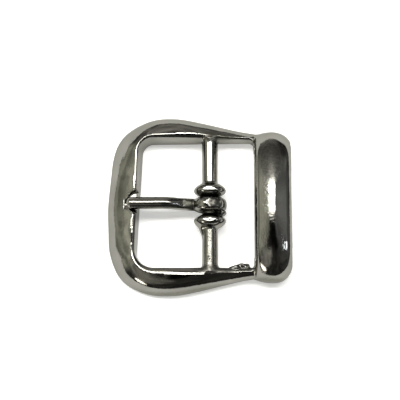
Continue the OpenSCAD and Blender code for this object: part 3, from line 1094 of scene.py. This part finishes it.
# %% [markdown]
# ## Light
# Polished metal shows the room more than its own colour, so each highlight is a light with a shape. One
# long soft light hangs across the table, a little to the far side: it draws the white streaks on the
# keeper, the bar and the collars. A cool window on the keeper's side leaves a small bright mark there,
# and a warm lamp almost at the table's level leaves one in the lower nose corner. A picture of a whole
# room could light all this at once, but with lights every mark can be moved by itself.

# %% The lights
def panel(name, shape, bearing, width, depth, distance, power, colour):
    """A flat light that stands over the table at a bearing, east and north, and faces the buckle."""
    east, north = math.radians(bearing[0]), math.radians(bearing[1])
    direction = Vector((math.tan(east), math.tan(north), 1)).normalized()
    data = bpy.data.lights.new(name, "AREA")
    data.shape = shape
    data.size = width
    data.size_y = depth
    data.energy = power
    data.color = colour
    light = bpy.data.objects.new(name, data)
    bpy.context.scene.collection.objects.link(light)
    across = Vector((0, 1, 0)).cross(direction).normalized()
    turn = Matrix((across, direction.cross(across), direction)).transposed().to_4x4()
    light.matrix_world = table @ Matrix.Translation(direction * distance) @ turn
    print(name, "gives", power, "W from", distance, "m")


panel("overhead", "ELLIPSE", (-4, 16), 1.3, 0.20, 0.8, 9.0, (1.0, 0.99, 0.96))
panel("window", "RECTANGLE", (49.5, -16), 0.11, 0.20, 0.9, 0.5, (0.85, 0.92, 1.0))
panel("lamp", "ELLIPSE", (-73, -76), 0.13, 0.32, 0.9, 0.9, (1.0, 0.94, 0.84))

# %% [markdown]
# ## The dim room
# Behind the lights is a dim room. A photographed room could be wrapped round the scene, but its walls
# couldn't be moved one by one. So each pale wall is a soft glow round one direction, and noise breaks
# the glow up, as furniture does. Straight above, the camera and its holder stand in the way of the
# walls' light, which is what makes the middles of the polished forms so dark.

# %% One wall of the room
world = bpy.data.worlds.new("dim_room")
bpy.context.scene.world = world
world.use_nodes = True
room_tree = world.node_tree
way = room_tree.nodes.new("ShaderNodeTexCoord").outputs["Generated"]
print("The world is called", world.name)


def vectors(operation, first, second):
    """Two vectors of the room's tree taken together."""
    return new_node(room_tree, "VectorMath", {0: first, 1: second}, 0, operation)


def wall_glow(towards, edge, core, strength, colour):
    """Light from a far wall: full within one angle of its direction, gone beyond another."""
    aimed = {0: way, 1: Vector(towards).normalized()}
    facing = new_node(room_tree, "VectorMath", aimed, "Value", "DOT_PRODUCT")
    far, near = math.cos(math.radians(edge)), math.cos(math.radians(core))
    ends = {"From Min": far, "From Max": near, "To Max": strength}
    fade = new_node(room_tree, "MapRange", {"Value": facing, **ends}, "Result")
    fade.node.interpolation_type = "SMOOTHSTEP"
    return new_node(room_tree, "VectorMath", {0: colour, "Scale": fade}, 0, "SCALE")


# %% The walls, and the camera's holder
WHITE = (1, 1, 1)
walls = [
    {"towards": (-1, 0.12, 0.45), "edge": 38, "core": 12, "strength": 0.75, "colour": (1.0, 1.0, 0.83)},
    {"towards": (1, 0.0, 0.2), "edge": 55, "core": 12, "strength": 0.12, "colour": (0.97, 0.98, 1.0)},
    {"towards": (0.9, 0.4, 1), "edge": 28, "core": 5, "strength": 0.18, "colour": (0.97, 0.98, 1.0)},
    {"towards": (-0.2, 1, 0.6), "edge": 45, "core": 10, "strength": 0.45, "colour": (1.0, 0.96, 0.9)},
    {"towards": (-0.7, -0.7, 1), "edge": 32, "core": 5, "strength": 0.5, "colour": (1.0, 0.98, 0.88)},
]
room = wall_glow((0, 0, 1), 180, 90, 0.06, (1.0, 0.98, 0.92))
for wall in walls:
    room = vectors("ADD", room, wall_glow(**wall))
holder = wall_glow((0.0, -0.15, 1), 18, 11, 0.95, WHITE)
for arm in (-0.42, 0.45):
    holder = vectors("MAXIMUM", holder, wall_glow((arm, -0.18, 1), 18, 10, 0.92, WHITE))
room = vectors("MULTIPLY", room, vectors("SUBTRACT", WHITE, holder))
print("The room has", len(walls), "walls")

# %% Clutter in the room, and plain tones
clutter = cloud(room_tree, way, 4.5, 4, 0.45, 1.45, 0.35, 0.65)
shades = new_node(room_tree, "VectorMath", {0: room, "Scale": clutter}, 0, "SCALE")
room_tree.links.new(shades, room_tree.nodes["Background"].inputs["Color"])
room_tree.nodes["Background"].inputs["Strength"].default_value = 1.0

view = bpy.context.scene.view_settings
view.view_transform = "Standard"
view.look = "None"
view.exposure = 0.0
print("The room takes", len(room_tree.nodes), "nodes")

# %% [markdown]
# ## The size, measured again
# The casting and the wire were drawn in millimetres, apart from the CAD. If the two kinds of box agree,
# nothing grew or slipped on the way. Both are kept, so that the sizes can be compared later.

visual_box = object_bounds()
gaps = [abs(a - b) / MM for c, v in zip(cad_box, visual_box) for a, b in zip(c, v)]
print("The two boxes differ by", round(max(gaps), 3), "mm at most")
